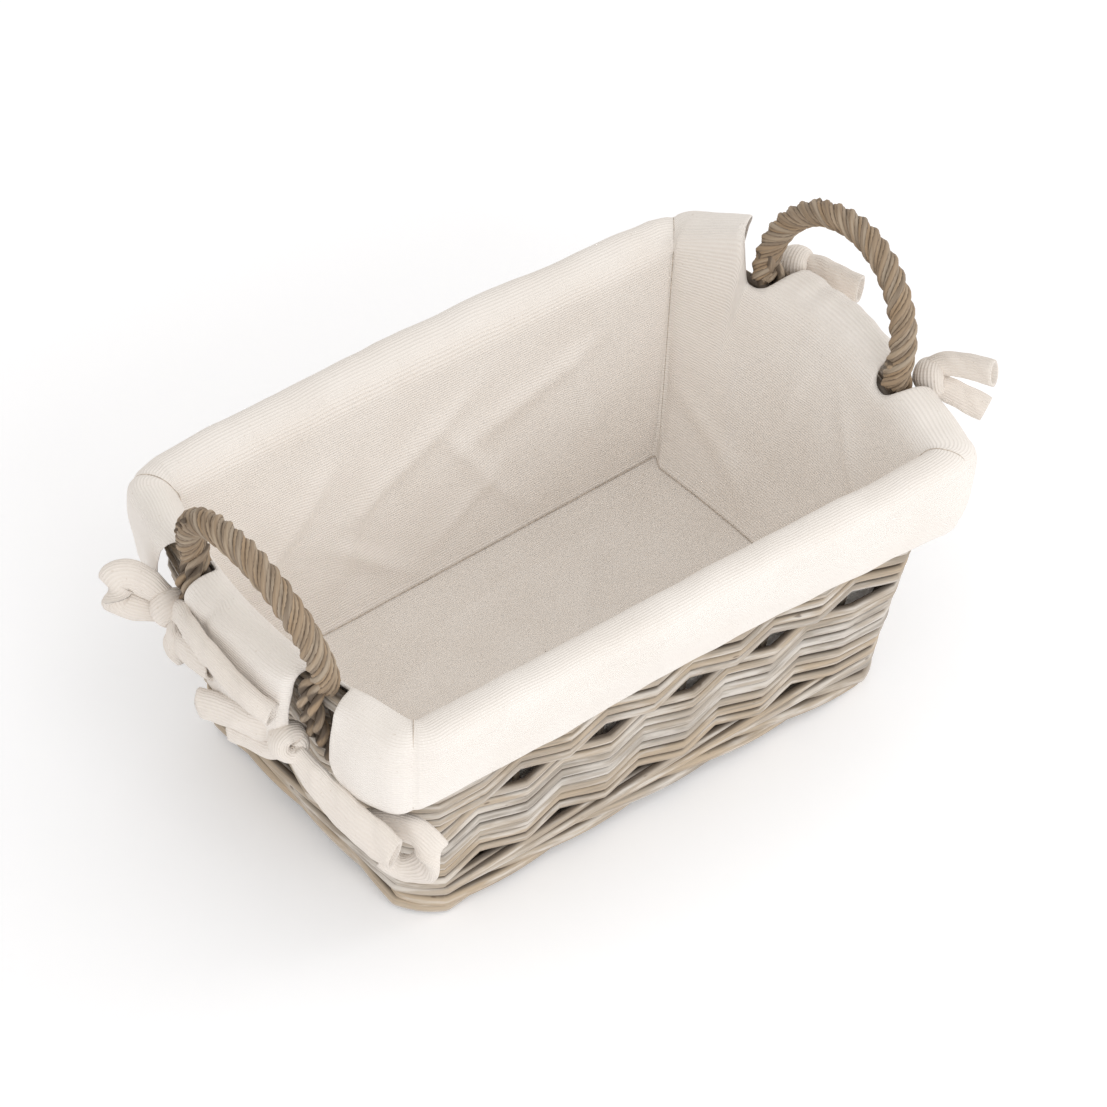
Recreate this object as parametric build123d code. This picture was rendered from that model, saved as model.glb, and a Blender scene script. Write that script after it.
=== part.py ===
from build123d import *
import os
from math import atan, cos, hypot, pi, sin

# Lined willow storage basket: a woven tray with flaring walls and bulging ends, two rope handles,
# and a cotton liner that folds over the rim and is tied round the handle feet.
# Millimetres. Origin at the centre of the footprint, +X along the length, +Y to the back, +Z up.

# --- driving dimensions -------------------------------------------------------------------------
BASE_HALF_LENGTH = 150.0
BASE_HALF_WIDTH = 94.0
BASE_CORNER = 20.0
RIM_HALF_LENGTH = 170.0
RIM_HALF_WIDTH = 112.0
RIM_CORNER = 16.0
INNER_CORNER = 3.0          # the tightest radius of a surface inside the wall
RIM_HEIGHT = 150.0
END_BULGE = 16.0            # how far the middle of each end stands out past its corners at the rim

STAKE_DIAMETER = 3.8
WEAVER_THICKNESS = 3.8
WALL_THICKNESS = STAKE_DIAMETER + 2 * WEAVER_THICKNESS + 0.8
CORNER_STAKE_DIAMETER = 9.0
STAKES_PER_SIDE = {"front": 10, "back": 10, "left": 6, "right": 6}
WEAVE_BANDS = 5             # each band is four rods worked together

FOOT_HEIGHT = 13.0
FOOT_WIDTH = 8.0
FOOT_ARCH = {"front": 5.0, "back": 5.0, "left": 7.0, "right": 7.0}
WEAVE_TOP = 140.0

BASE_STICK_DIAMETER = 8.0
BASE_STICKS = 5
BASE_WEAVERS = 13
BASE_WEAVER_THICKNESS = 5.2
BASE_MARGIN = 2.2

BORDER_ROD = 6.4
HANDLE_CENTRE = {"left": -6.0, "right": 0.0}   # the left handle sits a little towards the front
HANDLE_HALF_SPREAD = 52.0
HANDLE_RISE = 60.0
HANDLE_LEAN = 14.0
HANDLE_CORE_DIAMETER = 6.0
HANDLE_INSET = 5.4          # how far inside the wall's outer face a handle leg stands
HANDLE_LEG = 60.0           # length of the straight leg below each end of the arch
ROPE_DIAMETER = 14.4
STRAND_DIAMETER = 5.0

CLOTH = 1.5
LINER_FLOOR_RISE = 13.2     # the liner's floor lies this far above the foot, on the woven base
LINER_GAP = 1.0
CUFF_GAP = 4.0
CUFF_THICKNESS = 2.0
CUFF_TOP = 158.0
CUFF_BOTTOM = 112.0
END_FLAP_HALF_WIDTH = 39.0
CORNER_FLAP_START = 66.0
KNOT_RADIUS = 8.5
TIE_WIDTH = 12.0
TIE_THICKNESS = 5.0

GAP = 0.2
STAKE_END_GAP = 1.2
SIDES = ("front", "back", "left", "right")
CORNERS = {"front_left": (-1, -1), "front_right": (1, -1), "back_left": (-1, 1), "back_right": (1, 1)}
ARC_STEPS = 5
CURVE_STEPS = 12


# --- the wall surface ---------------------------------------------------------------------------
def level(z):
    """Outside half length, half width, corner radius and end bulge at height z."""
    t = z / RIM_HEIGHT
    length = BASE_HALF_LENGTH + t * (RIM_HALF_LENGTH - BASE_HALF_LENGTH)
    width = BASE_HALF_WIDTH + t * (RIM_HALF_WIDTH - BASE_HALF_WIDTH)
    corner = BASE_CORNER + t * (RIM_CORNER - BASE_CORNER)
    return length, width, corner, t * END_BULGE


def end_lean(z):
    """Angle by which the end wall turns outwards where it leaves the corner."""
    length, width, corner, bulge = level(z)
    return atan(2 * bulge / width)


def place(z, side, along, inset):
    """A point of the wall: along runs -1..1 over one side, inset is measured in from the outside."""
    length, width, corner, bulge = level(z)
    corner = max(corner, inset + INNER_CORNER)
    if side in ("front", "back"):
        facing = -1 if side == "front" else 1
        return along * (length - corner), facing * (width - inset), z
    facing = -1 if side == "left" else 1
    lean = end_lean(z)
    reach = width - corner + corner * sin(lean)
    slope = 2 * bulge * along / reach
    normal = hypot(1, slope)
    x = length - corner + corner * cos(lean) + bulge * (1 - along * along)
    return facing * (x - inset / normal), along * reach - inset * slope / normal, z


def place_corner(z, corner_name, turn, inset):
    """A point of a corner: turn runs 0..1 from the long side round to the end."""
    length, width, corner, bulge = level(z)
    corner = max(corner, inset + INNER_CORNER)
    sx, sy = CORNERS[corner_name]
    angle = pi / 2 - turn * (pi / 2 - end_lean(z))
    radius = corner - inset
    return sx * (length - corner + radius * cos(angle)), sy * (width - corner + radius * sin(angle)), z


def end_fraction(z, y):
    """The along value of an end wall at which it passes the given y."""
    length, width, corner, bulge = level(z)
    return y / (width - corner + corner * sin(end_lean(z)))


# --- shape helpers ------------------------------------------------------------------------------
def slab(outline, low, high):
    """A ruled solid between the closed outlines that outline(z) gives at two heights."""
    wires = [Wire.make_polygon([Vector(*p) for p in outline(z)], close=True) for z in (low, high)]
    return Solid.make_loft(wires, ruled=True)


def prism(points, low, high):
    """An upright solid over a closed plan outline."""
    face = Face(Wire.make_polygon([Vector(p[0], p[1], low) for p in points], close=True))
    return Solid.extrude(face, Vector(0, 0, high - low))


def rod(points, diameter):
    """A round rod: straight through two points, or on an arc through three."""
    path = Line(*points) if len(points) == 2 else ThreePointArc(*points)
    section = Plane(origin=path @ 0, z_dir=path % 0) * Circle(diameter / 2)
    return sweep(section, path=path).solid()


def strip(start, end, width, thickness):
    """A flat strap between two points, standing on edge."""
    start, end = Vector(*start), Vector(*end)
    along = (end - start).normalized()
    upright = Vector(0, 0, 1) - along * along.Z
    return (Plane(origin=(start + end) / 2, x_dir=upright, z_dir=along)
            * Box(width, thickness, (end - start).length + 1)).solid()


def side_steps(side, first=-1.0, last=1.0):
    """Evenly spaced stations along a side, more of them where it curves."""
    count = 1 if side in ("front", "back") else CURVE_STEPS
    return [first + (last - first) * k / count for k in range(count + 1)]


def half_corner(corner_name):
    """Turn values from the long side to the middle of a corner."""
    return [0.5 * k / ARC_STEPS for k in range(ARC_STEPS + 1)]


def side_path(z, side, inset):
    """Plan points of a whole side, from mid corner to mid corner."""
    if side in ("front", "back"):
        left, right = side + "_left", side + "_right"
        start = [place_corner(z, left, t, inset) for t in reversed(half_corner(left))]
        finish = [place_corner(z, right, t, inset) for t in half_corner(right)]
    else:
        near, far = "front_" + side, "back_" + side
        start = [place_corner(z, near, 1 - t, inset) for t in reversed(half_corner(near))]
        finish = [place_corner(z, far, 1 - t, inset) for t in half_corner(far)]
    middle = [place(z, side, a, inset) for a in side_steps(side)]
    return start + middle[1:-1] + finish


def export(name, solids):
    """Write one named sub-part, which may be a group of separate solids."""
    solids = [shape.solid() for shape in solids]
    node = solids[0] if len(solids) == 1 else Compound(solids)
    node.label = name
    export_step(node, "parts/" + name + ".step")


# --- base ---------------------------------------------------------------------------------------
def base_nodes():
    """Long sticks with weavers worked across them, over one stick and under the next."""
    centre = FOOT_HEIGHT + 2.2
    reach = BASE_HALF_LENGTH - FOOT_WIDTH - GAP
    half = level(centre)[1] - WALL_THICKNESS - BASE_MARGIN
    pitch = 2 * half / BASE_STICKS
    rows = [pitch * (k - (BASE_STICKS - 1) / 2) for k in range(BASE_STICKS)]
    export("base_sticks", [rod([(-reach, y, centre), (reach, y, centre)], BASE_STICK_DIAMETER) for y in rows])

    lift = (BASE_STICK_DIAMETER + BASE_WEAVER_THICKNESS) / 2 + 0.1
    width = 2 * (BASE_HALF_LENGTH - WALL_THICKNESS - BASE_MARGIN) / BASE_WEAVERS
    weavers = []
    for n in range(BASE_WEAVERS):
        middle = [(-half, 0.0)]
        for k, y in enumerate(rows):
            height = lift if (k + n) % 2 else -lift
            middle += [(y - 3.0, height), (y + 3.0, height)]
        middle.append((half, 0.0))
        upper = [(y, h + BASE_WEAVER_THICKNESS / 2) for y, h in middle]
        lower = [(y, h - BASE_WEAVER_THICKNESS / 2) for y, h in reversed(middle)]
        x = width * (n - (BASE_WEAVERS - 1) / 2)
        points = [Vector(x - width / 2 + GAP, y, centre + h) for y, h in upper + lower]
        face = Face(Wire.make_polygon(points, close=True))
        weavers.append(Solid.extrude(face, Vector(width - 2 * GAP, 0, 0)))
    export("base_weave", weavers)


# --- foot ---------------------------------------------------------------------------------------
def foot_nodes():
    """The heavy bottom rods. They stand on the four corners and arch a little off the floor between."""
    for side in SIDES:
        stations = side_steps(side)
        plan = [place(0, side, a, 0) for a in stations]
        plan += [place(0, side, a, FOOT_WIDTH) for a in reversed(stations)]
        body = prism(plan, 0, FOOT_HEIGHT)
        left, right = Vector(*plan[0]), Vector(*plan[len(stations) - 1])
        across = (right - left).normalized().cross(Vector(0, 0, 1)) * 3 * FOOT_WIDTH
        crown = (left + right) / 2 + Vector(0, 0, FOOT_ARCH[side])
        below = Vector(0, 0, -1)
        outline = Wire([Edge.make_three_point_arc(left, crown, right),
                        Edge.make_line(right, right + below),
                        Edge.make_line(right + below, left + below),
                        Edge.make_line(left + below, left)])
        hollow = Solid.extrude(Face(outline).moved(Location(-across)), across * 2)
        export("foot_" + side, [(body - hollow).solid()])
    corners = []
    for name in CORNERS:
        turns = [0.02 + 0.96 * k / 8 for k in range(9)]
        plan = [place_corner(0, name, t, 0) for t in turns]
        plan += [place_corner(0, name, t, FOOT_WIDTH) for t in reversed(turns)]
        corners.append(prism(plan, 0, FOOT_HEIGHT))
    export("foot_corners", corners)


# --- stakes and weave ---------------------------------------------------------------------------
def stake_stations(side):
    count = STAKES_PER_SIDE[side]
    return [2 * (k + 1) / (count + 1) - 1 for k in range(count)]


def stake_nodes():
    """Upright rods that stand on the foot and end under the border, thicker ones in the corners."""
    ends = (FOOT_HEIGHT + STAKE_END_GAP, WEAVE_TOP - STAKE_END_GAP)
    for side in SIDES:
        stakes = [rod([place(z, side, a, WALL_THICKNESS / 2) for z in ends], STAKE_DIAMETER)
                  for a in stake_stations(side)]
        export("stakes_" + side, stakes)
    inset = WEAVER_THICKNESS + 0.3 + CORNER_STAKE_DIAMETER / 2
    export("stakes_corners", [rod([place_corner(z, name, 0.5, inset) for z in ends], CORNER_STAKE_DIAMETER)
                              for name in CORNERS])


def band_levels():
    height = (WEAVE_TOP - FOOT_HEIGHT) / WEAVE_BANDS
    return [(FOOT_HEIGHT + n * height + GAP, FOOT_HEIGHT + (n + 1) * height) for n in range(WEAVE_BANDS)]


def band_outline(side, first_inside):
    """Plan outline of one weave band, which passes inside and outside the stakes in turn."""
    outside = WEAVER_THICKNESS / 2
    inside = WALL_THICKNESS - WEAVER_THICKNESS / 2
    stations = stake_stations(side)
    flat = 0.16 * (stations[1] - stations[0])
    run = [(-1.0, outside)]
    for k, along in enumerate(stations):
        inset = inside if (k + first_inside) % 2 else outside
        run += [(along - flat, inset), (along + flat, inset)]
    run.append((1.0, outside))

    def outline(z):
        outer = [place(z, side, a, i - WEAVER_THICKNESS / 2) for a, i in run]
        inner = [place(z, side, a, i + WEAVER_THICKNESS / 2) for a, i in reversed(run)]
        return outer + inner
    return outline


def weave_nodes():
    """Slewed weave: bands of rods in front of one stake and behind the next, shifted band by band."""
    for side in SIDES:
        export("weave_" + side, [slab(band_outline(side, n % 2), low, high)
                                 for n, (low, high) in enumerate(band_levels())])
    turns = [0.02 + 0.96 * k / 6 for k in range(7)]
    corners = []
    for name in CORNERS:
        def outline(z):
            outer = [place_corner(z, name, t, 0) for t in turns]
            inner = [place_corner(z, name, t, WEAVER_THICKNESS) for t in reversed(turns)]
            return outer + inner
        corners += [slab(outline, low, high) for low, high in band_levels()]
    export("weave_corners", corners)


# --- border -------------------------------------------------------------------------------------
def border_nodes():
    """Three rods laid along the top of the wall: two side by side and one riding on them."""
    middle = WALL_THICKNESS / 2
    low = WEAVE_TOP + GAP + BORDER_ROD / 2
    spread = BORDER_ROD / 2 + 0.15
    rods = [(middle - spread, low), (middle + spread, low), (middle, low + 0.9 * BORDER_ROD)]
    for side in SIDES:
        stations = (-0.99, 0.99) if side in ("front", "back") else (-0.99, 0.0, 0.99)
        export("border_" + side, [rod([place(z, side, a, i) for a in stations], BORDER_ROD) for i, z in rods])
    turns = (0.04, 0.5, 0.96)
    export("border_corners", [rod([place_corner(z, name, t, i) for t in turns], BORDER_ROD)
                              for name in CORNERS for i, z in rods])


# --- handles ------------------------------------------------------------------------------------
def handle_foot(side, end, z):
    """Centre of a handle leg where it stands in the wall at height z."""
    y = HANDLE_CENTRE[side] + end * HANDLE_HALF_SPREAD
    return place(z, side, end_fraction(z, y), HANDLE_INSET)


def handle_arch(side, base):
    """Three points of the handle's arc, standing on the height base."""
    near, far = handle_foot(side, -1, base), handle_foot(side, 1, base)
    facing = -1 if side == "left" else 1
    crown = ((near[0] + far[0]) / 2 + facing * HANDLE_LEAN, (near[1] + far[1]) / 2, base + HANDLE_RISE)
    return near, crown, far


def handle_nodes():
    """A bow rod pushed down into the wall, wrapped with rope-twisted rods that end on the outside."""
    top = WEAVE_TOP + 2 * BORDER_ROD + 1.0
    for side in ("left", "right"):
        path = ThreePointArc(*handle_arch(side, top))
        near, far = path @ 0, path @ 1
        route = Wire([Edge.make_line(near - (path % 0) * HANDLE_LEG, near), path.edge(),
                      Edge.make_line(far, far + (path % 1) * HANDLE_LEG)])
        section = Plane(origin=route @ 0, z_dir=route % 0) * Circle(HANDLE_CORE_DIAMETER / 2)
        export("handle_core_" + side, [sweep(section, path=route)])
        ring = Circle(ROPE_DIAMETER / 2) - Circle(HANDLE_CORE_DIAMETER / 2 + 0.05)
        export("handle_rope_" + side, [sweep(Plane(origin=path @ 0, z_dir=path % 0) * ring, path=path)])

        strands = []
        for end in (-1, 1):
            for spread in (-1, 0, 1):
                y = HANDLE_CENTRE[side] + end * HANDLE_HALF_SPREAD + 6.0 * spread
                upper = place(top, side, end_fraction(top, y), -6.5)
                lower = place(124.0, side, end_fraction(124.0, y * 1.02), -3.4)
                strands.append(rod([lower, upper], STRAND_DIAMETER))
        export("handle_strands_" + side, strands)


# --- liner --------------------------------------------------------------------------------------
def liner_nodes():
    """Floor and four walls of the cotton liner, standing clear of the weave all round."""
    outside = WALL_THICKNESS + LINER_GAP
    inside = outside + CLOTH
    floor = FOOT_HEIGHT + LINER_FLOOR_RISE
    plan = []
    for side, backwards in (("front", False), ("right", False), ("back", True), ("left", True)):
        path = side_path(floor, side, inside + 0.05)
        plan += (path[::-1] if backwards else path)[:-1]
    export("liner_floor", [prism(plan, floor, floor + CLOTH)])
    for side in SIDES:
        def outline(z):
            return side_path(z, side, outside) + side_path(z, side, inside)[::-1]
        export("liner_wall_" + side, [slab(outline, floor, CUFF_TOP - CUFF_THICKNESS)])


def rim_band(path_at, low, high, outer, inner):
    """An upright cloth band that follows the rim between two insets."""
    return prism(path_at(outer) + path_at(inner)[::-1], low, high)


def end_path(side, first, last):
    """Plan path along part of an end at rim height, from one y to another."""
    def path(inset):
        ends = [end_fraction(RIM_HEIGHT, y) for y in (first, last)]
        return [place(RIM_HEIGHT, side, a, inset) for a in side_steps(side, *ends)]
    return path


def corner_path(name):
    """Plan path from the middle of a corner along its end to the edge of the notch."""
    facing, depth = CORNERS[name]
    side = "left" if facing < 0 else "right"

    def path(inset):
        notch = HANDLE_CENTRE[side] + depth * CORNER_FLAP_START
        turns = [0.5 + 0.5 * k / ARC_STEPS for k in range(ARC_STEPS + 1)]
        corner = [place_corner(RIM_HEIGHT, name, t, inset) for t in turns]
        straight = [place(RIM_HEIGHT, side, a, inset)
                    for a in (depth * 0.94, (depth + end_fraction(RIM_HEIGHT, notch)) / 2 * 0.985,
                              end_fraction(RIM_HEIGHT, notch))]
        return corner + straight
    return path


def cuff_nodes():
    """The liner's folded top: a strip over the rim and a skirt that hangs outside it."""
    skirt = (-CUFF_GAP - CUFF_THICKNESS, -CUFF_GAP)
    fold = (skirt[0], WALL_THICKNESS + LINER_GAP + CLOTH)
    under = CUFF_TOP - CUFF_THICKNESS
    for side in ("front", "back"):
        def path(inset):
            return side_path(RIM_HEIGHT, side, inset)
        export("liner_fold_" + side, [rim_band(path, under + 0.05, CUFF_TOP, *fold)])
        export("cuff_" + side, [rim_band(path, CUFF_BOTTOM, under, *skirt)])
    pieces = {"corner_cuff_" + name: corner_path(name) for name in CORNERS}
    for side in ("left", "right"):
        centre = HANDLE_CENTRE[side]
        pieces["end_flap_" + side] = end_path(side, centre - END_FLAP_HALF_WIDTH, centre + END_FLAP_HALF_WIDTH)
    for name, path in pieces.items():
        export(name, [rim_band(path, under + 0.05, CUFF_TOP, *fold), rim_band(path, CUFF_BOTTOM, under, *skirt)])


# --- ties ---------------------------------------------------------------------------------------
# Each bow: its knot, then the routes of its loops and tails, in millimetres. The left bows hang low
# on the wall and the front one's tail turns the corner; the right bows stick out behind their handle.
BOWS = {
    "front_left": ((-192, -57, 111), [[(-192, -57, 111), (-204, -20, 104), (-212, 6, 108)],
                                      [(-192, -57, 111), (-190, -80, 102), (-180, -105, 88),
                                       (-158, -112, 72)]]),
    "back_left": ((-192, 45, 124), [[(-192, 45, 124), (-203, 66, 124), (-212, 80, 120)],
                                    [(-192, 45, 124), (-193, 52, 98), (-190, 56, 84)],
                                    [(-192, 45, 124), (-198, 20, 116), (-198, -8, 106)]]),
    "front_right": ((198, -56, 148), [[(198, -56, 148), (206, -72, 160), (212, -88, 166)],
                                      [(198, -56, 148), (206, -70, 140), (212, -86, 138)]]),
    "back_right": ((200, 55, 150), [[(200, 55, 150), (207, 32, 156), (211, 10, 156)]]),
}


def tie_nodes():
    """Four bows, one outside each handle foot, tied from the liner's sewn tapes."""
    for name, (knot, routes) in BOWS.items():
        export("knot_" + name, [Pos(*knot) * Sphere(KNOT_RADIUS)])
        tails = Part() + [strip(a, b, TIE_WIDTH, TIE_THICKNESS)
                          for route in routes for a, b in zip(route, route[1:])]
        export("tie_tails_" + name, (tails - Pos(*knot) * Sphere(KNOT_RADIUS + 0.1)).solids())


os.makedirs("parts", exist_ok=True)
base_nodes()
foot_nodes()
stake_nodes()
weave_nodes()
border_nodes()
handle_nodes()
liner_nodes()
cuff_nodes()
tie_nodes()
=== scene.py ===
import bmesh
import bpy
import numpy as np
from math import atan, cos, exp, hypot, pi, sin
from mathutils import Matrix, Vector, noise


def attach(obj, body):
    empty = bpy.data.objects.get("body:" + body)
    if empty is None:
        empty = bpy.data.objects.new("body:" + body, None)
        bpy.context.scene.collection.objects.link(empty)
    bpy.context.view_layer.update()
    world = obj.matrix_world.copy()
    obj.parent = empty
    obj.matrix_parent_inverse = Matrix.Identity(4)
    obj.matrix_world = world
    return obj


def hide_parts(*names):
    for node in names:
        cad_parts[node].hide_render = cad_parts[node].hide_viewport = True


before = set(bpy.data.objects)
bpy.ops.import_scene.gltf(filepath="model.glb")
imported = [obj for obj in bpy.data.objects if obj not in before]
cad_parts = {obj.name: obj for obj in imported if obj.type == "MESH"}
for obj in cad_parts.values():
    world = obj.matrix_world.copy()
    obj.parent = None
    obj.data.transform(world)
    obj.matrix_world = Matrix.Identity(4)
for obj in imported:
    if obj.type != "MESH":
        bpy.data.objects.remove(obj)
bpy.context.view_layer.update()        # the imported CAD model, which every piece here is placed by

# Lined willow basket. Shapes are worked out in millimetres in the CAD frame and made in metres.
MM = 0.001

# --- dimensions shared with the CAD model ---
BASE_HALF_LENGTH = 150.0
BASE_HALF_WIDTH = 94.0
BASE_CORNER = 20.0
RIM_HALF_LENGTH = 170.0
RIM_HALF_WIDTH = 112.0
RIM_CORNER = 16.0
INNER_CORNER = 3.0
RIM_HEIGHT = 150.0
END_BULGE = 16.0
WALL_THICKNESS = 12.2
STAKES_PER_SIDE = {"front": 10, "back": 10, "left": 6, "right": 6}
WEAVE_RODS = 20
FOOT_HEIGHT = 13.0
FOOT_ARCH = {"front": 5.0, "back": 5.0, "left": 7.0, "right": 7.0}
WEAVE_TOP = 140.0
HANDLE_BASE = 153.8
HANDLE_INSET = 5.4
HANDLE_CENTRE = {"left": -6.0, "right": 0.0}
HANDLE_HALF_SPREAD = 52.0
HANDLE_RISE = 60.0
HANDLE_LEAN = 14.0
LINER_INSET = 14.0
LINER_FLOOR = 29.0
CUFF_BOTTOM = 112.0
SIDES = ("front", "back", "left", "right")
CORNERS = {"front_left": (-1, -1), "front_right": (1, -1), "back_left": (-1, 1), "back_right": (1, 1)}

# The way round the basket: each stretch, and whether it is walked backwards.
LOOP = (("front", False), ("front_right", False), ("right", False), ("back_right", True),
        ("back", True), ("back_left", False), ("left", True), ("front_left", True))


# --- camera, light and floor ---
CAMERA_AZIMUTH = -0.6747    # radians round from the front
CAMERA_ELEVATION = 0.7567   # radians above the floor
CAMERA_ROLL = 0.0284
CAMERA_OFFSET = (0.00459, 0.0705, 2.5549)   # metres to the camera's right, up and back
LENS = 162.6                # focal length in mm on a 36 mm sensor
LIGHT_TARGET = (0, 0, 0.1)
LIGHT_SIZE = 1.3
FLOOR_HALF = 6.0


def make_camera():
    """A long lens from the front left, looking down into the basket."""
    azimuth, elevation, roll = CAMERA_AZIMUTH, CAMERA_ELEVATION, CAMERA_ROLL
    back = Vector((sin(azimuth) * cos(elevation), -cos(azimuth) * cos(elevation), sin(elevation)))
    level_right = Vector((0, 0, 1)).cross(back).normalized()
    level_up = back.cross(level_right)
    right = cos(roll) * level_right + sin(roll) * level_up
    up = -sin(roll) * level_right + cos(roll) * level_up
    data = bpy.data.cameras.new("camera")
    data.sensor_width = 36
    data.lens = LENS
    data.clip_end = 20
    camera = bpy.data.objects.new("camera", data)
    bpy.context.collection.objects.link(camera)
    matrix = camera.matrix_world.copy()
    stand = CAMERA_OFFSET[0] * right + CAMERA_OFFSET[1] * up + CAMERA_OFFSET[2] * back
    for column, axis in enumerate((right, up, back, stand)):
        for row in range(3):
            matrix[row][column] = axis[row]
    camera.matrix_world = matrix
    bpy.context.scene.camera = camera


def make_light(name, location, energy, colour):
    data = bpy.data.lights.new(name, "AREA")
    data.shape = "DISK"
    data.size = LIGHT_SIZE
    data.energy = energy
    data.color = colour
    lamp = bpy.data.objects.new(name, data)
    bpy.context.collection.objects.link(lamp)
    lamp.location = location
    lamp.rotation_euler = (Vector(LIGHT_TARGET) - Vector(location)).to_track_quat("-Z", "Y").to_euler()


def make_studio_light():
    """Soft light from all round, stronger from low at the front."""
    world = bpy.data.worlds.new("studio")
    bpy.context.scene.world = world
    world.use_nodes = True
    background = world.node_tree.nodes["Background"]
    background.inputs["Color"].default_value = (1.0, 0.98, 0.955, 1)
    background.inputs["Strength"].default_value = 0.8
    make_light("key", (-0.35, -2.1, 1.25), 15, (0.97, 0.985, 1.0))
    make_light("left", (-2.1, -0.2, 1.2), 1.8, (1.0, 0.99, 0.97))
    make_light("right", (2.1, -0.6, 1.4), 10, (1.0, 0.99, 0.97))


def make_floor():
    """A plain pale floor."""
    mesh = bpy.data.meshes.new("floor")
    square = [(-1, -1), (1, -1), (1, 1), (-1, 1)]
    mesh.from_pydata([(FLOOR_HALF * x, FLOOR_HALF * y, 0) for x, y in square], [], [(0, 1, 2, 3)])
    floor = bpy.data.objects.new("floor", mesh)
    bpy.context.collection.objects.link(floor)
    material = bpy.data.materials.new("floor_white")
    material.use_nodes = True
    shader = material.node_tree.nodes["Principled BSDF"]
    shader.inputs["Base Color"].default_value = (0.95, 0.96, 0.985, 1)
    shader.inputs["Roughness"].default_value = 0.9
    shader.inputs["Emission Color"].default_value = (1.0, 1.0, 1.0, 1)
    shader.inputs["Emission Strength"].default_value = 0.16
    mesh.materials.append(material)


# --- the wall surface ---
def level(z):
    """Outside half length, half width, corner radius and end bulge at height z."""
    t = z / RIM_HEIGHT
    length = BASE_HALF_LENGTH + t * (RIM_HALF_LENGTH - BASE_HALF_LENGTH)
    width = BASE_HALF_WIDTH + t * (RIM_HALF_WIDTH - BASE_HALF_WIDTH)
    corner = BASE_CORNER + t * (RIM_CORNER - BASE_CORNER)
    return length, width, corner, t * END_BULGE


def end_lean(z):
    """How far the end's bulge turns the wall at the corner, in radians."""
    _, width, _, bulge = level(z)
    return atan(2 * bulge / width)


def place(z, side, along, inset):
    """A point of the wall: along runs -1..1 over one side, inset is measured in from the outside."""
    length, width, corner, bulge = level(z)
    corner = max(corner, inset + INNER_CORNER)
    if side in ("front", "back"):
        facing = -1 if side == "front" else 1
        return along * (length - corner), facing * (width - inset), z
    facing = -1 if side == "left" else 1
    lean = end_lean(z)
    reach = width - corner + corner * sin(lean)
    slope = 2 * bulge * along / reach
    normal = hypot(1, slope)
    x = length - corner + corner * cos(lean) + bulge * (1 - along * along)
    return facing * (x - inset / normal), along * reach - inset * slope / normal, z


def place_corner(z, corner_name, turn, inset):
    """A point of a corner: turn runs 0..1 from the long side round to the end."""
    length, width, corner, _ = level(z)
    corner = max(corner, inset + INNER_CORNER)
    sx, sy = CORNERS[corner_name]
    angle = pi / 2 - turn * (pi / 2 - end_lean(z))
    radius = corner - inset
    return sx * (length - corner + radius * cos(angle)), sy * (width - corner + radius * sin(angle)), z


def end_fraction(z, y):
    """Where y lies along an end, from -1 to 1 between the corners."""
    _, width, corner, _ = level(z)
    return y / (width - corner + corner * sin(end_lean(z)))


def around(z, s, inset):
    """A point of the whole wall: s runs 0..8 round the basket, one unit for each side and corner."""
    s = s % 8
    index = int(s)
    name, backwards = LOOP[index]
    t = s - index
    if backwards:
        t = 1 - t
    if name in SIDES:
        return place(z, name, 2 * t - 1, inset)
    return place_corner(z, name, t, inset)


def unit(vectors):
    return vectors / np.maximum(np.linalg.norm(vectors, axis=-1, keepdims=True), 1e-9)


def wander(seed, along, step):
    """Smooth, repeatable noise between about -1 and 1."""
    return noise.noise(Vector((along / step, 17.3 * seed, 4.1 * seed)))


# --- making meshes ---
def new_piece(name, points, faces, material):
    """A smooth piece from points in millimetres."""
    mesh = bpy.data.meshes.new(name)
    mesh.from_pydata([(x * MM, y * MM, z * MM) for x, y, z in points], [], faces)
    mesh.shade_smooth()
    mesh.materials.append(material)
    piece = bpy.data.objects.new(name, mesh)
    bpy.context.collection.objects.link(piece)
    return piece


def store(piece, name, kind, values):
    """Keeps a value at each point, for the material to read."""
    attribute = piece.data.attributes.new(name, kind, "POINT")
    key = "vector" if kind == "FLOAT_VECTOR" else "value"
    attribute.data.foreach_set(key, np.array(values, np.float32).ravel())


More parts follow.
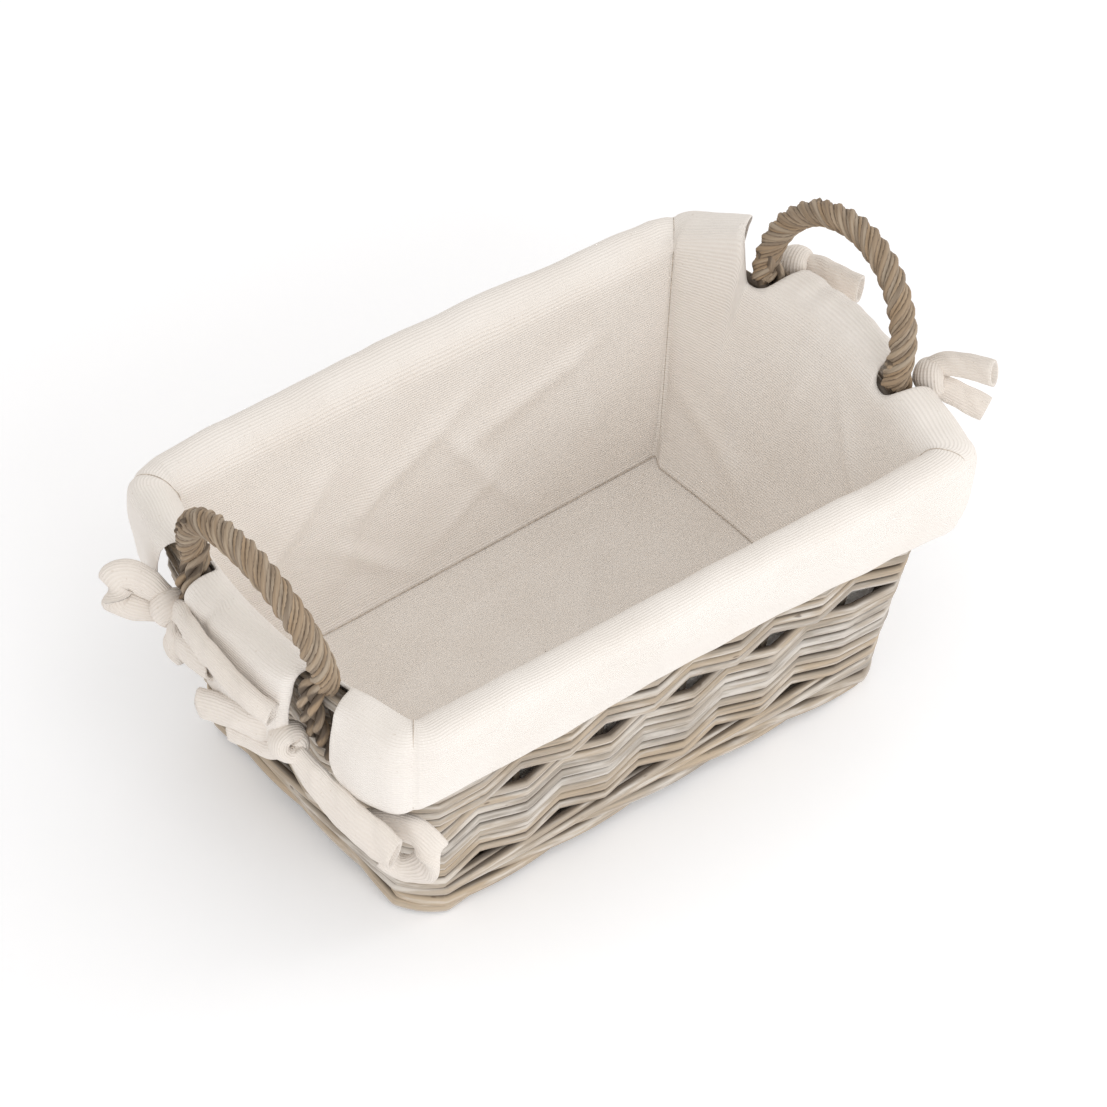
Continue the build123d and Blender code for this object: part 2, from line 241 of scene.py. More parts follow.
class Rods:
    """Collects round rods into one mesh. Each rod has its own grain direction and tint, and each
    point knows how squarely it faces outwards (1) rather than into the gap beside the rod (0), which the
    material uses to paint shade into the gaps."""

    def __init__(self):
        self.points, self.faces, self.grain, self.tint, self.facing = [], [], [], [], []
        self.count = 0

    def add(self, path, radius, up, closed=False, sides=9, outward=None):
        path = np.array(path, float)
        count = len(path)
        radius = np.broadcast_to(np.array(radius, float), (count,)).copy()
        if closed:
            tangent = np.roll(path, -1, 0) - np.roll(path, 1, 0)
        else:
            tangent = np.gradient(path, axis=0)
            radius[0] *= 0.8
            radius[-1] *= 0.8
        tangent = unit(tangent)
        side = unit(np.cross(tangent, np.broadcast_to(np.array(up, float), (count, 3))))
        over = np.cross(side, tangent)
        angle = np.arange(sides) * 2 * pi / sides
        ring = (np.cos(angle)[None, :, None] * side[:, None, :]
                + np.sin(angle)[None, :, None] * over[:, None, :]) * radius[:, None, None]
        first = len(self.points)
        self.points += (path[:, None, :] + ring).reshape(-1, 3).tolist()
        if outward is None:
            self.facing += np.tile(np.cos(angle), count).tolist()
        else:
            self.facing += ((ring * outward[:, None, :]).sum(2) / radius[:, None]).ravel().tolist()
        run = np.concatenate([[0], np.cumsum(np.linalg.norm(np.diff(path, axis=0), axis=1))])
        self.count += 1
        shift = 37.7 * self.count
        tint = 0.5 + 0.5 * wander(self.count, 3.3 * self.count, 1.7)
        for k in range(count):
            for a in angle:
                self.grain.append(((run[k] + shift) * MM, (radius[k] * cos(a) + shift) * MM,
                                   radius[k] * sin(a) * MM))
                self.tint.append(tint)
        rings = count if closed else count - 1
        for k in range(rings):
            here, there = first + k * sides, first + ((k + 1) % count) * sides
            for j in range(sides):
                n = (j + 1) % sides
                self.faces.append((here + j, here + n, there + n, there + j))
        if not closed:
            self.faces.append(tuple(first + j for j in reversed(range(sides))))
            self.faces.append(tuple(first + (count - 1) * sides + j for j in range(sides)))

    def piece(self, name, material):
        """Makes the rods into one piece, with what their material reads."""
        piece = new_piece(name, self.points, self.faces, material)
        store(piece, "grain", "FLOAT_VECTOR", self.grain)
        store(piece, "tint", "FLOAT", self.tint)
        store(piece, "facing", "FLOAT", self.facing)
        return piece

    def build(self, name, material, nodes, slot):
        piece = self.piece(name, material)
        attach(piece, "basket")
        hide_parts(*nodes)


def ring_nodes(kind):
    """The CAD nodes that make up one ring of the wall."""
    return [kind + "_" + side for side in SIDES] + [kind + "_corners"]


# --- node helpers ---
class Nodes:
    """A thin wrapper that makes and links shader nodes in one material."""

    def __init__(self, name):
        self.material = bpy.data.materials.new(name)
        self.material.use_nodes = True
        self.tree = self.material.node_tree
        self.shader = self.tree.nodes["Principled BSDF"]

    def give(self, socket, value):
        if isinstance(value, bpy.types.NodeSocket):
            self.tree.links.new(value, socket)
        else:
            socket.default_value = value

    def set(self, name, value):
        self.give(self.shader.inputs[name], value)

    def node(self, kind, inputs):
        """A new node. inputs gives each socket, by name or number, a value or another node's output."""
        node = self.tree.nodes.new(kind)
        for key, value in inputs.items():
            self.give(node.inputs[key], value)
        return node

    def attribute(self, name, output):
        node = self.tree.nodes.new("ShaderNodeAttribute")
        node.attribute_name = name
        return node.outputs[output]

    def noise(self, vector, scale, detail, rough):
        inputs = {"Vector": vector, "Scale": scale, "Detail": detail, "Roughness": rough}
        return self.node("ShaderNodeTexNoise", inputs).outputs["Fac"]

    def streaks(self, vector, stretch, detail, rough):
        """Noise drawn out along the axes: the larger the number, the finer it is that way."""
        mapping = self.node("ShaderNodeMapping", {"Vector": vector, "Scale": stretch})
        return self.noise(mapping.outputs["Vector"], 1.0, detail, rough)

    def ramp(self, value, low, high):
        node = self.node("ShaderNodeMapRange", {"Value": value, "From Min": low, "From Max": high})
        node.interpolation_type = "SMOOTHSTEP"
        return node.outputs["Result"]

    def math(self, kind, a, b):
        node = self.node("ShaderNodeMath", {0: a, 1: b})
        node.operation = kind
        return node.outputs[0]

    def plus(self, a, b):
        return self.math("ADD", a, b)

    def times(self, a, b):
        return self.math("MULTIPLY", a, b)

    def less(self, a, b):
        return self.math("SUBTRACT", a, b)

    def mix(self, amount, a, b):
        node = self.tree.nodes.new("ShaderNodeMix")
        node.data_type = "RGBA"
        self.give(node.inputs[0], amount)
        for socket, value in ((node.inputs[6], a), (node.inputs[7], b)):
            self.give(socket, value if isinstance(value, bpy.types.NodeSocket) else (*value, 1))
        return node.outputs[2]

    def bump(self, height, strength, distance, under=None):
        inputs = {"Height": height, "Strength": strength, "Distance": distance}
        if under is not None:
            inputs["Normal"] = under
        return self.node("ShaderNodeBump", inputs).outputs["Normal"]


GAP_SHADE = (0.1, 0.075, 0.055)     # painted shade: the colour down in the gaps between rods, standing in for the shadow there
KNOT_DARK = (0.09, 0.055, 0.035)
SEED_FLECK = (0.42, 0.31, 0.2)


def shade(colour, amount):
    return tuple(amount * c for c in colour)


def willow_material(name, tan, grey, pale, wash):
    """Weathered peeled willow: grain runs along each rod, with grey, tan and lime-white streaks, and painted
    shade darkening each rod where it turns into the gap beside it.
    """
    m = Nodes(name)
    grain = m.attribute("grain", "Vector")
    tint = m.attribute("tint", "Fac")
    facing = m.attribute("facing", "Fac")
    fibre = m.streaks(grain, (22, 620, 620), 4.0, 0.6)
    patch = m.streaks(grain, (16, 90, 90), 2.0, 0.5)
    lime = m.streaks(grain, (28, 260, 260), 3.0, 0.6)
    knots = m.streaks(grain, (90, 260, 260), 1.0, 0.5)
    greyness = m.ramp(m.plus(m.times(patch, 0.6), m.times(tint, 0.5)), 0.35, 0.75)
    body = m.mix(greyness, tan, grey)
    streaked = m.mix(m.times(m.ramp(fibre, 0.42, 0.72), 0.55), body, shade(grey, 0.52))
    washed = m.ramp(m.plus(lime, m.times(tint, 0.16)), 0.52, 0.74)
    limed = m.mix(m.times(washed, wash), streaked, pale)
    spotted = m.mix(m.times(m.ramp(knots, 0.74, 0.8), 0.6), limed, KNOT_DARK)
    # painted shade: where a rod turns into the gap beside it, its colour is darkened, standing in for the
    # shadow between rods
    gap = m.ramp(m.less(1.0, facing), 0.15, 0.82)
    m.set("Base Color", m.mix(m.times(gap, 0.85), spotted, GAP_SHADE))
    m.set("Roughness", m.plus(0.55, m.times(fibre, 0.3)))
    m.set("Specular IOR Level", 0.35)
    m.set("Normal", m.bump(m.plus(fibre, m.times(lime, 0.5)), 0.5, 0.0006))
    return m.material


def wave(m, coordinates, direction, pitch, distortion):
    """Even threads in one direction of the cloth, pitch metres apart."""
    inputs = {"Vector": coordinates, "Scale": 2 * pi / 20 / pitch, "Distortion": distortion}
    node = m.node("ShaderNodeTexWave", inputs)
    node.bands_direction = direction
    return node


def cotton_material(name, colour, dark, rib_pitch):
    """Unbleached cotton with fine ribs across the cloth, painted shade in the grooves between them, seed
    flecks and soft creasing.
    """
    m = Nodes(name)
    coordinates = m.attribute("cloth", "Vector")
    ribs = wave(m, coordinates, "Y", rib_pitch, 0.9)
    ribs.inputs["Detail Scale"].default_value = 0.25
    threads = wave(m, coordinates, "X", 0.8 * rib_pitch, 1.2)
    slubs = m.streaks(coordinates, (90, 900, 1), 3.0, 0.6)
    blotch = m.noise(coordinates, 22.0, 3.0, 0.55)
    flecks = m.noise(coordinates, 620.0, 1.0, 0.5)
    weave = m.plus(m.times(ribs.outputs["Fac"], 0.85), m.times(threads.outputs["Fac"], 0.15))
    base = m.mix(m.times(m.ramp(blotch, 0.35, 0.7), 0.28), colour, dark)
    # painted shade: the grooves between the ribs, the low parts of the weave bump, are darkened towards the
    # darker cotton colour
    ribbed = m.mix(m.times(m.less(1.0, weave), 0.34), base, dark)
    slubbed = m.mix(m.times(m.ramp(slubs, 0.5, 0.75), 0.14), ribbed, shade(colour, 1.06))
    seeded = m.mix(m.times(m.ramp(flecks, 0.7, 0.78), 0.22), slubbed, SEED_FLECK)
    m.set("Base Color", seeded)
    m.set("Roughness", 0.92)
    m.set("Specular IOR Level", 0.2)
    m.set("Sheen Weight", 0.12)
    m.set("Sheen Roughness", 0.5)
    creased = m.bump(m.noise(coordinates, 60.0, 4.0, 0.55), 0.35, 0.0016)
    threaded = m.bump(m.plus(weave, m.times(slubs, 0.4)), 0.6, 0.0005, creased)
    m.set("Normal", threaded)
    return m.material


def thread_material(name, colour):
    """Sewing thread, twisted finely along its length."""
    m = Nodes(name)
    twist = m.streaks(m.attribute("grain", "Vector"), (700, 900, 900), 2.0, 0.5)
    m.set("Base Color", m.mix(m.ramp(twist, 0.3, 0.7), shade(colour, 0.6), colour))
    m.set("Roughness", 0.9)
    return m.material


# --- willow pieces ---
def stake_stations(side):
    """Where the stakes stand along a side, from -1 to 1."""
    count = STAKES_PER_SIDE[side]
    return [2 * (k + 1) / (count + 1) - 1 for k in range(count)]


OUTSIDE = 3.1               # inset of a rod's middle where it passes outside a stake
INSIDE = 8.4                # and where it passes inside one
WEAVE_DIP = 1.5             # a rod runs this much lower outside the stakes and higher inside them
BAND_TOP = 10               # the rod at which the weave changes step
ROD_RADIUS = 2.85           # of the rods in the wall
ROD_SPREAD = 0.45           # how much thicker or thinner one rod is than the next
CORNER_END = 0.999          # just short of the next stretch of the loop


def weave_stops(parity):
    """Where a rod passes each stake on its way round: outside the corners, in and out between."""
    stops = []
    for index, (name, _) in enumerate(LOOP):
        if name not in SIDES:
            stops += [(index, OUTSIDE), (index + CORNER_END, OUTSIDE)]
            continue
        for k, along in enumerate(stake_stations(name)):
            stops.append((index + (along + 1) / 2, INSIDE if (k + parity) % 2 == 0 else OUTSIDE))
    return stops


def bent_round(z, s, inset):
    """A point of the wall for a stiff rod, which goes nearly straight across a corner."""
    point = np.array(around(z, s, inset))
    index = int(s % 8)
    if LOOP[index][0] in SIDES:
        return point
    start, end = np.array(around(z, index, inset)), np.array(around(z, index + CORNER_END, inset))
    chord = start + (end - start) * (s % 8 - index)
    return 0.35 * point + 0.65 * chord


def woven_rod(z, parity, seed):
    """One closed rod of the wall weave. It bends at the stakes and runs nearly straight between."""
    stops = [(s, inset + 0.9 * wander(seed + 20, 9 * s, 4), z + 1.6 * wander(seed + 40, 9 * s, 4))
             for s, inset in weave_stops(parity)]
    path = []
    for (s0, i0, z0), (s1, i1, z1) in zip(stops, stops[1:] + [(stops[0][0] + 8, *stops[0][1:])]):
        gap = Vector(around(z, s1, i1)) - Vector(around(z, s0, i0))
        steps = max(4, round(gap.length / 3.0))
        for k in range(steps):
            t = k / steps
            s = s0 + (s1 - s0) * t
            inset = i0 + (i1 - i0) * (0.75 * t + 0.25 * t * t * (3 - 2 * t))
            dip = WEAVE_DIP * (2 * (inset - OUTSIDE) / (INSIDE - OUTSIDE) - 1)
            height = z0 + (z1 - z0) * t + dip + 0.5 * wander(seed, s * 60, 25)
            path.append(bent_round(height, s, inset))
    middle = len(path) // 2
    return path[middle:] + path[:middle]


def wale(rods, z, inset, turns, hand, offset, radius, strands, arch=0.0):
    """Rods twisted round each other along the wall, like a long loose rope."""
    steps = 420
    for n in range(strands):
        path = []
        for k in range(steps):
            s = 8 * k / steps
            name = LOOP[int(s)][0]
            t = s - int(s)
            rise = arch * FOOT_ARCH.get(name, 0.0) * 4 * t * (1 - t)
            angle = hand * 2 * pi * (turns * arc_share(s) + n / strands)
            wobble = 0.5 * wander(7 * n + turns, s * 60, 40)
            path.append(bent_round(z + rise + wobble + offset * sin(angle), s, inset + offset * cos(angle)))
        rods.add(path[steps // 2:] + path[:steps // 2], radius * (1 + 0.08 * wander(n, n * 9, 3)),
                 (0, 0, 1), closed=True)


def measure_loop(z=60.0, steps=800):
    """Length travelled round the wall, as a share of the whole, at evenly spaced s."""
    points = np.array([around(z, 8 * k / steps, 8.0) for k in range(steps + 1)])
    run = np.concatenate([[0], np.cumsum(np.linalg.norm(np.diff(points, axis=0), axis=1))])
    return np.linspace(0, 8, steps + 1), run / run[-1], run[-1]


LOOP_S, LOOP_SHARE, LOOP_LENGTH = measure_loop()


def arc_share(s):
    return float(np.interp(s % 8, LOOP_S, LOOP_SHARE))


def make_wall(material):
    """The wall: two deep bands of rods, each in front of the stakes that the other goes behind."""
    rods = Rods()
    pitch = (WEAVE_TOP - FOOT_HEIGHT) / WEAVE_RODS
    for n in range(2, WEAVE_RODS):
        z = FOOT_HEIGHT + pitch * (n + 0.5)
        radius = ROD_RADIUS + ROD_SPREAD * wander(n, n * 5.0, 3)
        path = woven_rod(z, n // BAND_TOP, n)
        thick = [radius * (1 + 0.09 * wander(n, k, 22)) for k in range(len(path))]
        rods.add(path, thick, (0, 0, 1), closed=True)
    wale(rods, FOOT_HEIGHT + 6.4, inset=4.2, turns=3, hand=-1, offset=2.6, radius=2.7, strands=4, arch=0.3)
    rods.build("wall_weave", material, ring_nodes("weave"), "wall_willow")


STAKE_INSET = 10.2
STAKE_RADIUS = 1.9
STAKE_BOTTOM = 8.0
STAKE_TOP = 146.0
CORNER_STAKE_INSET = 9.0
CORNER_STAKE_RADIUS = 3.2
CORNER_STAKE_BOTTOM = 6.0


def make_stakes(material):
    """Upright stakes, which stand well in from the face and cut into the rods that pass inside."""
    rods = Rods()
    for side in SIDES:
        for along in stake_stations(side):
            path = [place(z, side, along, STAKE_INSET) for z in np.linspace(STAKE_BOTTOM, STAKE_TOP, 8)]
            rods.add(path, STAKE_RADIUS, (0, 1, 0) if side in ("front", "back") else (1, 0, 0))
    for name in CORNERS:
        path = [place_corner(z, name, 0.5, CORNER_STAKE_INSET)
                for z in np.linspace(CORNER_STAKE_BOTTOM, STAKE_TOP, 8)]
        rods.add(path, CORNER_STAKE_RADIUS, (1, 0, 0))
    rods.build("wall_stakes", material, ring_nodes("stakes"), "frame_willow")


def make_foot(material):
    """A tight wale of three thick rods round the bottom edge, arched a little along each side."""
    rods = Rods()
    wale(rods, 6.95, inset=4.9, turns=6, hand=1, offset=2.9, radius=3.7, strands=3, arch=0.9)
    rods.build("foot_wale", material, ring_nodes("foot"), "wall_willow")


def make_border(material):
    """Four rods twisted loosely along the top of the wall."""
    rods = Rods()
    wale(rods, 145.6, inset=5.9, turns=4, hand=1, offset=3.1, radius=2.9, strands=4)
    rods.build("rim_border", material, ring_nodes("border"), "wall_willow")


BASE_STICKS = 5
BASE_RODS = 50
BASE_HEIGHT = FOOT_HEIGHT + 2.2     # the height of the sticks' middles
BASE_LIFT = 5.0                     # how far a rod goes over or under a stick


def make_base(material):
    """The base, seen from below and when the liner is lifted out: sticks with rods woven across."""
    half_length = BASE_HALF_LENGTH - WALL_THICKNESS / 2
    half_width = level(BASE_HEIGHT)[1] - WALL_THICKNESS / 2
    pitch = 2 * (level(BASE_HEIGHT)[1] - WALL_THICKNESS - 0.8) / BASE_STICKS
    rows = [pitch * (k - 2) for k in range(BASE_STICKS)]
    rods = Rods()
    for k, y in enumerate(rows):
        for shift in (-2.2, 2.2):
            path = [(x, y + shift + 0.5 * wander(k, x, 60), BASE_HEIGHT)
                    for x in np.linspace(-half_length, half_length, 24)]
            rods.add(path, 2.4, (0, 0, 1))
    for n in range(BASE_RODS):
        x = (n - (BASE_RODS - 1) / 2) * (2 * half_length - 14) / (BASE_RODS - 1)
        path = []
        for y in np.linspace(-half_width, half_width, 60):
            phase = (y - rows[0]) / pitch
            lift = (1 if n % 2 else -1) * BASE_LIFT * cos(pi * phase)
            path.append((x + 0.6 * wander(n, y, 30), y, BASE_HEIGHT + lift))
        rods.add(path, 2.5, (1, 0, 0), sides=8)
    rods.build("base_weave", material, ["base_sticks", "base_weave"], "wall_willow")


def handle_foot(side, end, z):
    y = HANDLE_CENTRE[side] + end * HANDLE_HALF_SPREAD
    return Vector(place(z, side, end_fraction(z, y), HANDLE_INSET))


def handle_line(side):
    """Points along the bow of a handle, with the direction square to its plane."""
    near, far = handle_foot(side, -1, HANDLE_BASE), handle_foot(side, 1, HANDLE_BASE)
    facing = -1 if side == "left" else 1
    middle = (near + far) / 2
    crown = middle + Vector((facing * HANDLE_LEAN, 0, HANDLE_RISE))
    across = (far - near) / 2
    rise = crown - middle
    sagitta = (rise.length ** 2 - across.length ** 2) / (2 * rise.length)
    radius = rise.length - sagitta
    centre = middle + rise.normalized() * sagitta
    square = across.cross(rise).normalized()
    sweep = pi + 2 * atan(sagitta / across.length)
    steps = 90
    path = []
    for k in range(steps + 1):
        angle = -sweep / 2 + sweep * k / steps
        path.append(centre + radius * (sin(angle) * across.normalized() + cos(angle) * rise.normalized()))
    return path, square


def twisted(rods, line, square, pitch, strands, offset, radius, start, seed):
    """Strands laid left-handed round a line, measured from a fixed square direction."""
    points = np.array([tuple(p) for p in line])
    tangent = unit(np.gradient(points, axis=0))
    side = unit(np.cross(tangent, np.array(tuple(square))))
    over = np.cross(side, tangent)
    run = np.concatenate([[0], np.cumsum(np.linalg.norm(np.diff(points, axis=0), axis=1))])
    for n in range(strands):
        angle = start - 2 * pi * (run / pitch + n / strands)
        reach = offset * (1 + 0.07 * np.array([wander(seed + n, x, 9) for x in run]))
        centre = points + reach[:, None] * (np.cos(angle)[:, None] * side + np.sin(angle)[:, None] * over)
        rods.add(centre, radius, tuple(square), sides=8, outward=unit(centre - points))


# Where a loose strand goes from the rope down the outside of the wall, as
# (drop below the handle's base in mm, share of its sideways spread, inset).
TAIL_ROUTE = ((-16, 0.3, 6.0), (-6, 0.6, 1.0), (3, 0.85, -3.6),
              (14, 1.0, -5.2), (30, 1.1, -5.0), (44, 1.0, -3.0))
TAILS = ((0.0, 1.1), (7.0, 0.9))    # each loose strand's spread towards the handle's middle, and its length
# The rods of one strand of the rope: (turn from the strand's first rod, offset from the middle, radius).
STRAND = ((0.0, 4.4, 1.9), (0.37, 5.4, 1.85), (0.74, 4.4, 1.9))
ROPE_STRANDS = 4
ROPE_PITCH = 34.0
TAIL_PITCH = 24.0
CORE_RADIUS = 2.9
SPLAYED_ENDS = 5


def strand_tail(rods, side, end, spread, length, seed):
    """A strand's end: it leaves the rope over the border and lies down the outside of the wall."""
    centre = HANDLE_CENTRE[side] + end * HANDLE_HALF_SPREAD
    route = [(drop * length if drop > 0 else drop, share, inset) for drop, share, inset in TAIL_ROUTE]
    line = []
    for drop, share, inset in spline(route, 7):
        y = centre + spread * share + 0.8 * wander(seed, drop, 14)
        z = HANDLE_BASE - drop
        low = min(z, RIM_HEIGHT)
        x, y, _ = place(low, side, end_fraction(low, y), inset)
        line.append(Vector((x, y, z)))
    facing = -1 if side == "left" else 1
    twisted(rods, line, (facing * 0.2, 1.0, 0.1), TAIL_PITCH, strands=2, offset=2.0, radius=2.2,
            start=seed, seed=seed)


def splayed_ends(rods, arch, side):
    """Short cut ends that stand out of the rope where a strand was let in, by the far foot."""
    facing = -1 if side == "left" else 1
    for k in range(SPLAYED_ENDS):
        root = arch[-4 - 5 * k]
        out = Vector((facing * (4.0 + 0.5 * k), 1.5 - 1.2 * k, 3.0 + 0.8 * k))
        path = [root, root + 0.8 * out + Vector((0, 0, 1.5)), root + 1.7 * out]
        rods.add(path, 1.7, (0, 1, 0), sides=8)


def make_handle(side, material):
    """Rope handle: strands of three thin rods twisted over a bow rod, two loose strands at each foot."""
    rods = Rods()
    arch, square = handle_line(side)
    legs = [[handle_foot(side, end, z) for z in (96.0, 115.0, 135.0)] for end in (-1, 1)]
    rods.add([tuple(p) for p in legs[0] + arch + legs[1][::-1]], CORE_RADIUS, tuple(square))
    for start, offset, radius in STRAND:
        twisted(rods, arch, square, ROPE_PITCH, ROPE_STRANDS, offset, radius, start=start, seed=len(side))
    splayed_ends(rods, arch, side)
    for end in (-1, 1):
        for n, (spread, length) in enumerate(TAILS):
            strand_tail(rods, side, end, -end * spread, length, 3 * n + end + 5)
    nodes = ["handle_core_" + side, "handle_rope_" + side, "handle_strands_" + side]
    rods.build("handle_" + side, material, nodes, "handle_willow")


# --- cotton liner ---
class Cloth:
    """Collects cloth surfaces into one mesh, with a flat coordinate in metres for the weave."""

    def __init__(self):
        self.points, self.faces, self.flat = [], [], []

    def grid(self, rows, closed, keep=None):
        """rows is a list of rows of (point, flat coordinate). keep(i, j) says whether to face a cell."""
        first = len(self.points)
        across = len(rows[0])
        for row in rows:
            for point, flat in row:
                self.points.append(point)
                self.flat.append(flat)
        for i in range(len(rows) - 1):
            for j in range(across if closed else across - 1):
                if keep is not None and not keep(i, j):
                    continue
                n = (j + 1) % across
                a, b = first + i * across, first + (i + 1) * across
                self.faces.append((a + j, a + n, b + n, b + j))

    def build(self, name, material, thickness, smooth):
        """Makes the piece: thickness in mm, and how many times its surface is divided."""
        piece = new_piece(name, self.points, self.faces, material)
        store(piece, "cloth", "FLOAT_VECTOR", np.array(self.flat, np.float32) * MM)
        solid = piece.modifiers.new("thickness", "SOLIDIFY")
        solid.thickness = thickness * MM
        solid.offset = 0.0
        if smooth:
            rounding = piece.modifiers.new("rounding", "SUBSURF")
            rounding.levels = smooth
            rounding.render_levels = smooth
        apply_modifiers(piece)
        return piece


def apply_modifiers(piece):
    graph = bpy.context.evaluated_depsgraph_get()
    finished = bpy.data.meshes.new_from_object(piece.evaluated_get(graph))
    piece.modifiers.clear()
    piece.data = finished
    piece.data.shade_smooth()


def ridge(u, v, centre_u, centre_v, angle, length, width, height):
    """A soft fold: a ridge of the given height along a line in the cloth's own plane."""
    du, dv = u - centre_u, v - centre_v
    along = du * cos(angle) + dv * sin(angle)
    across = -du * sin(angle) + dv * cos(angle) + 6 * sin(along / length)
    return height * exp(-abs(across / width) ** 1.6) * exp(-(along / length) ** 4)


# Soft folds in each wall, as (position along the side in mm, height, angle, length, width, height of fold).
WALL_FOLDS = {
    "back": [(-95, 95, 0.9, 38, 5.6, 3.8), (-62, 70, 1.15, 45, 4.3, 3), (-20, 105, 0.55, 50, 6.2, 3.5),
             (25, 75, 2.3, 42, 5, 3), (60, 108, 0.4, 45, 5.6, 3.2), (96, 80, 1.9, 40, 5.6, 3.2),
             (-40, 48, 2.6, 40, 4.3, 2.7), (5, 55, 0.7, 36, 3.7, 2.4)],
    "right": [(-55, 100, 1.0, 40, 5.6, 2.7), (10, 85, 1.9, 45, 6.2, 2.4), (48, 60, 0.6, 36, 5, 2.2),
              (-20, 55, 2.4, 35, 5, 1.8)],
    "left": [(-40, 90, 1.2, 40, 6.2, 2.4), (20, 70, 2.1, 40, 5, 2), (55, 100, 0.8, 36, 5.6, 2.4)],
    "front": [(-80, 90, 0.8, 45, 5.6, 2.4), (0, 80, 2.2, 45, 6.2, 2.2), (75, 95, 1.1, 40, 5.6, 2.4)],
}
FLOOR_FOLDS = [(-70, 20, 0.5, 55, 5.6, 2.4), (-15, -25, 2.5, 60, 5, 2.2), (45, 25, 0.9, 50, 5.6, 2.4),
               (85, -20, 2.2, 40, 5, 2.2), (-100, -40, 1.2, 40, 5, 1.9), (15, 50, 0.2, 55, 4.3, 1.6)]


CORNER_COLUMNS = 14
LONG_COLUMNS = 84
# The stretches of an end of the liner, in order, with the columns in each.
END_ZONES = (("flap_a", 9), ("notch_a", 10), ("middle", 28), ("notch_b", 10), ("flap_b", 9))
LINER_THICKNESS = 1.3


def cloth_columns():
    """Columns round the liner: (s, side or corner name, zone, position within the zone)."""
    columns = []
    for index, (name, _) in enumerate(LOOP):
        if name not in SIDES:
            count = CORNER_COLUMNS
            columns += [(index + k / count, name, "corner", k / count) for k in range(count)]
        elif name in ("front", "back"):
            count = LONG_COLUMNS
            columns += [(index + k / count, name, "long", k / count) for k in range(count)]
        else:
            for zone, count in END_ZONES:
                columns += [(index, name, zone, k / count) for k in range(count)]
    return columns


# The notches round the handle feet. How far each edge is from the handle's centre, in mm, at shares
# of the way from the lip (0) to the cuff's bottom edge (1).
NOTCH_OUTER = {
    "front_left": ((0, 62), (0.3, 66), (0.8, 64), (0.92, 68), (1, 79)),
    "back_left": ((0, 62), (0.25, 67), (0.5, 71), (0.75, 70), (1, 66)),
    "front_right": ((0, 60), (0.3, 64), (0.85, 66), (1, 74)),
    "back_right": ((0, 60), (0.3, 70), (0.6, 76), (1, 82)),
}
NOTCH_INNER = ((0, 44), (0.25, 40), (0.9, 38), (1, 34))
# The height of the cuff's bottom edge at places round the loop.
CUFF_EDGE = ((0, 114), (0.12, 113), (0.4, 117.5), (0.75, 116.5), (1, 112), (1.5, 109), (2, 107), (2.4, 112),
             (2.6, 112), (3, 109), (4, 113), (4.5, 116), (5, 113), (5.5, 110), (6, 111), (6.3, 114),
             (6.6, 114), (6.9, 107), (7.5, 112), (8, 114))
# How much further in the floor's seam lies than the wall above it.
FLOOR_SLACK = ((0, 2), (1, 2), (1.9, 7), (3.1, 7), (3.9, 0), (4, 0), (4.8, 7), (5, 7), (6, 7), (7, 7), (8, 2))
# Where the cuffs belly out near the corners: (s, outwards at the top, outwards at the bottom).
BELLIES = ((7.2, 1.0, 3.0), (1.8, 6.5, 0.5), (3.2, 2.0, 3.0), (4.5, 3.5, 2.5), (5.8, 1.5, 0.0))
BACK_PUFF = 4.0             # how much higher the back cuff rolls over the rim at its middle
STAND_HEIGHT = 26.0         # how high the cut cloth at the far right corner stands over the rim
SKIRT_TOP = 147.5


def keyed(frames, at):
    return float(np.interp(at, [f[0] for f in frames], [f[1] for f in frames]))


def notch_edges(side, reach):
    """The y of the four notch edges of an end; reach is 0 at the lip and 1 at the cuff's bottom."""
    centre = HANDLE_CENTRE[side]
    inner = keyed(NOTCH_INNER, reach)
    return [centre - keyed(NOTCH_OUTER["front_" + side], reach), centre - inner, centre + inner,
            centre + keyed(NOTCH_OUTER["back_" + side], reach)]


def column_s(column, reach, z):
    """Where a column stands on the loop. Columns at the ends follow the notch edges."""
    s, name, zone, t = column
    if zone in ("corner", "long"):
        return s
    index, backwards = next((n, b) for n, (at, b) in enumerate(LOOP) if at == name)
    stops = [-1.0] + [end_fraction(z, y) for y in notch_edges(name, reach)] + [1.0]
    if backwards:
        stops = [-stop for stop in reversed(stops)]
    k = [stretch for stretch, _ in END_ZONES].index(zone)
    along = stops[k] + (stops[k + 1] - stops[k]) * t
    return index + (along + 1) / 2


def liner_profile():
    """Rows of the liner from the floor seam up the inside, over the rim and down the outside.

    Each row is (height, inset, stage): stage is wall, lip, fold or skirt.
    """
    rows = [(LINER_FLOOR - 0.6, LINER_INSET + 1.0, "wall"), (LINER_FLOOR + 1.4, LINER_INSET + 0.3, "wall")]
    rows += [(z, LINER_INSET, "wall") for z in np.linspace(LINER_FLOOR + 4, 149, 28)]
    rows += [(152.5, 12.4, "lip"), (155.3, 10.0, "lip"), (157.2, 6.8, "lip")]
    rows += [(158.1, 3.0, "fold"), (157.9, -0.8, "fold"), (156.4, -4.0, "fold"), (153.7, -6.2, "fold"),
             (150.6, -7.0, "fold")]
    rows += [(z, -7.0, "skirt") for z in np.linspace(SKIRT_TOP, CUFF_BOTTOM, 13)]
    return rows


def fold_sum(folds, u, v):
    return sum(ridge(u, v, *fold) for fold in folds)


def stand_up(s, name, zone, t):
    """How far the cloth beside the far right notch stands up: it is cut there and doesn't fold over."""
    if name == "back_right" and s <= 3.5:
        return STAND_HEIGHT * 0.48 * (3.5 - s)
    if name == "right" and zone == "flap_b":
        return STAND_HEIGHT * min(1.0, 0.24 + 4.0 * (3 - s))
    if name == "right" and zone == "notch_b":
        return STAND_HEIGHT * max(0.0, (t - 0.78) / 0.22) ** 1.5
    return 0.0


